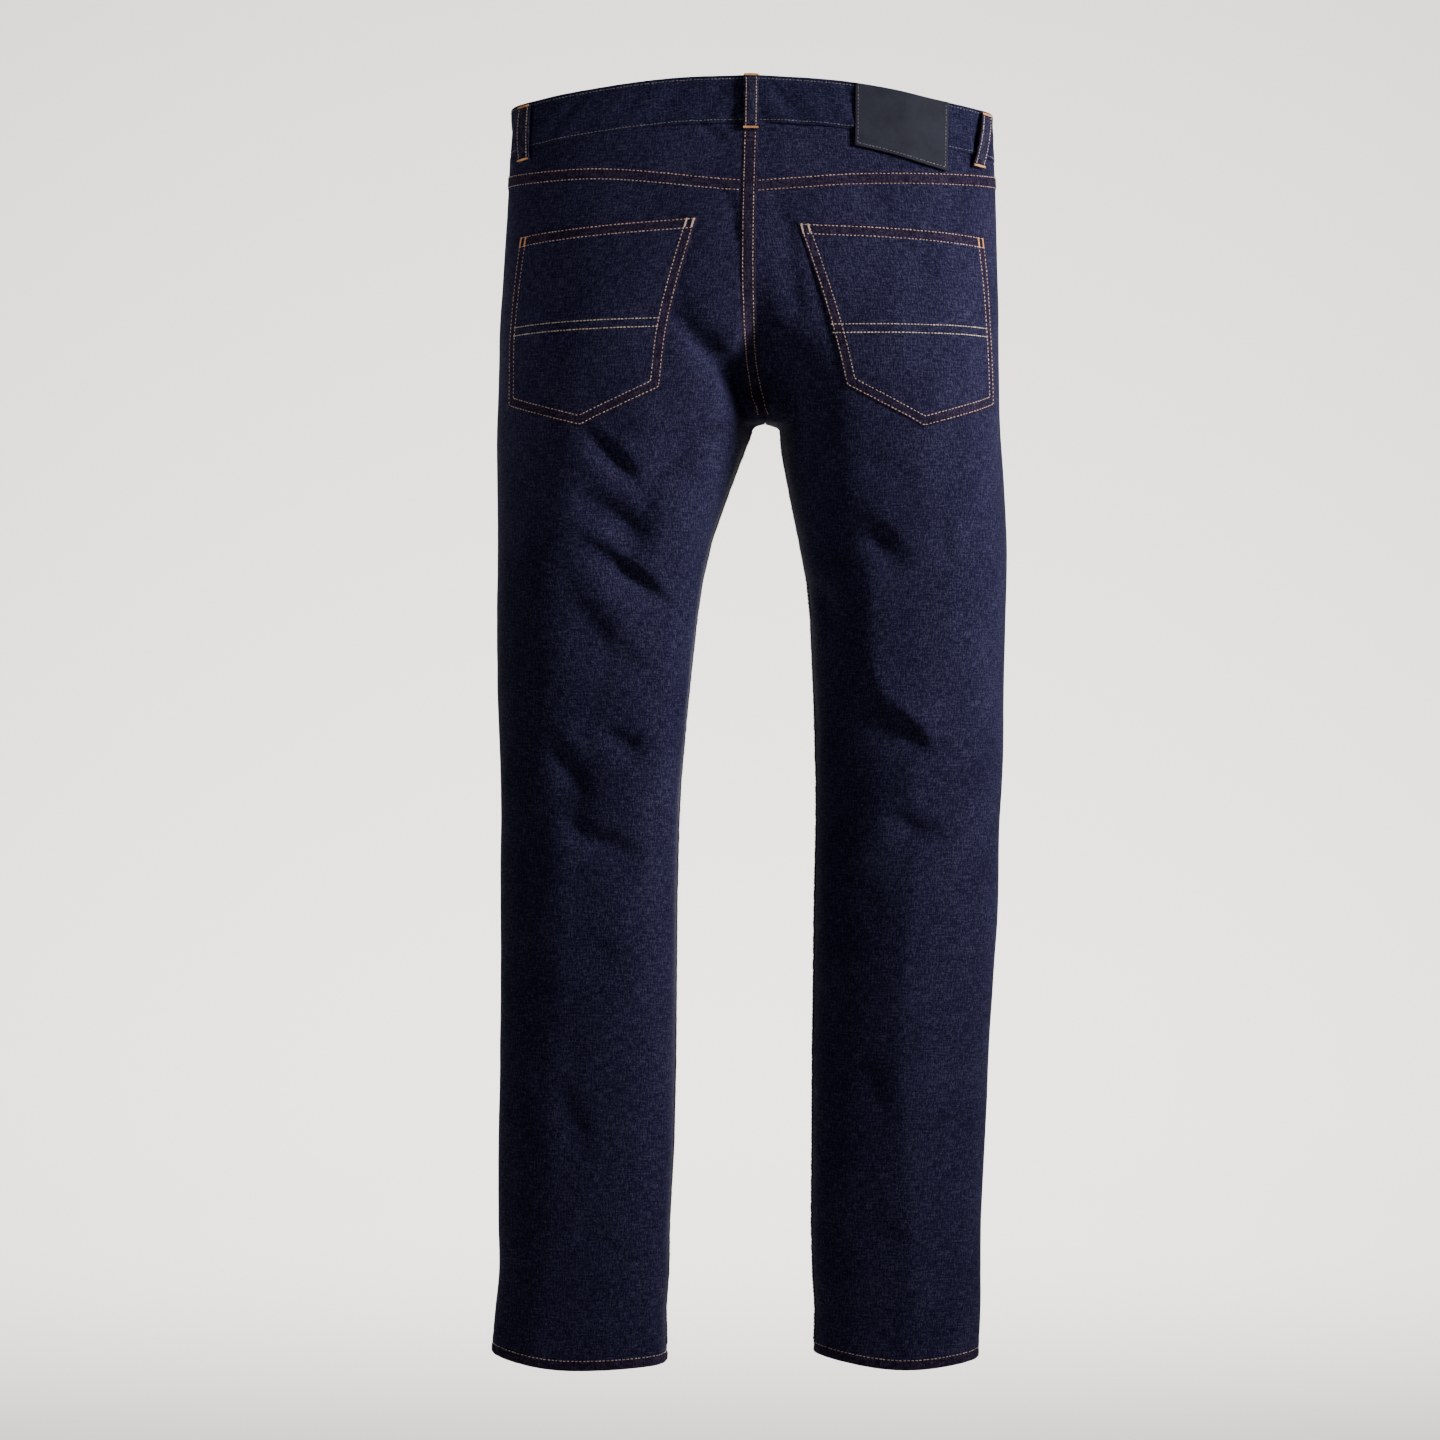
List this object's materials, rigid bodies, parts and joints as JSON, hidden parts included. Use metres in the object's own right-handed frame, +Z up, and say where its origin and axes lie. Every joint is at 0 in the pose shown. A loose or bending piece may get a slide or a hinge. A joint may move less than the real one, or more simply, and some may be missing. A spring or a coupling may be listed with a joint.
{
  "type": "slim fit jeans",
  "caption": "Slim fit denim jeans with waistband, belt loops, yoke, patch pockets and plain leather patch, filled out and hollow for a wearer.",
  "frame": {"origin": "middle of the waistband ring, level with the side seams, where the wearer's waist holds the garment", "axes": "+Z up along the wearer, the wearer faces -Y, +X to the wearer's left"},
  "size_m": [0.4407, 0.1797, 1.0979],
  "materials": {
    "denim": "unwashed dark indigo twill, matt, paler on its reverse",
    "thread": "copper and pale straw sewing thread",
    "patch_leather": "dark slate blue, soft sheen",
    "button_metal": "aged copper"
  },
  "bodies": {
    "root": {"back_left": "denim", "back_right": "denim", "front_left": "denim", "front_right": "denim", "yoke_left": "denim", "yoke_right": "denim", "back_pocket_left": "denim", "back_pocket_right": "denim", "pocket_facing_left": "denim", "pocket_facing_right": "denim", "fly_shield": "denim", "waistband": "denim", "belt_loop_back": "denim", "belt_loop_back_left": "denim", "belt_loop_back_right": "denim", "belt_loop_front_left": "denim", "belt_loop_front_right": "denim", "patch": "patch_leather", "waist_button": "button_metal"}
  },
  "joints": []
}
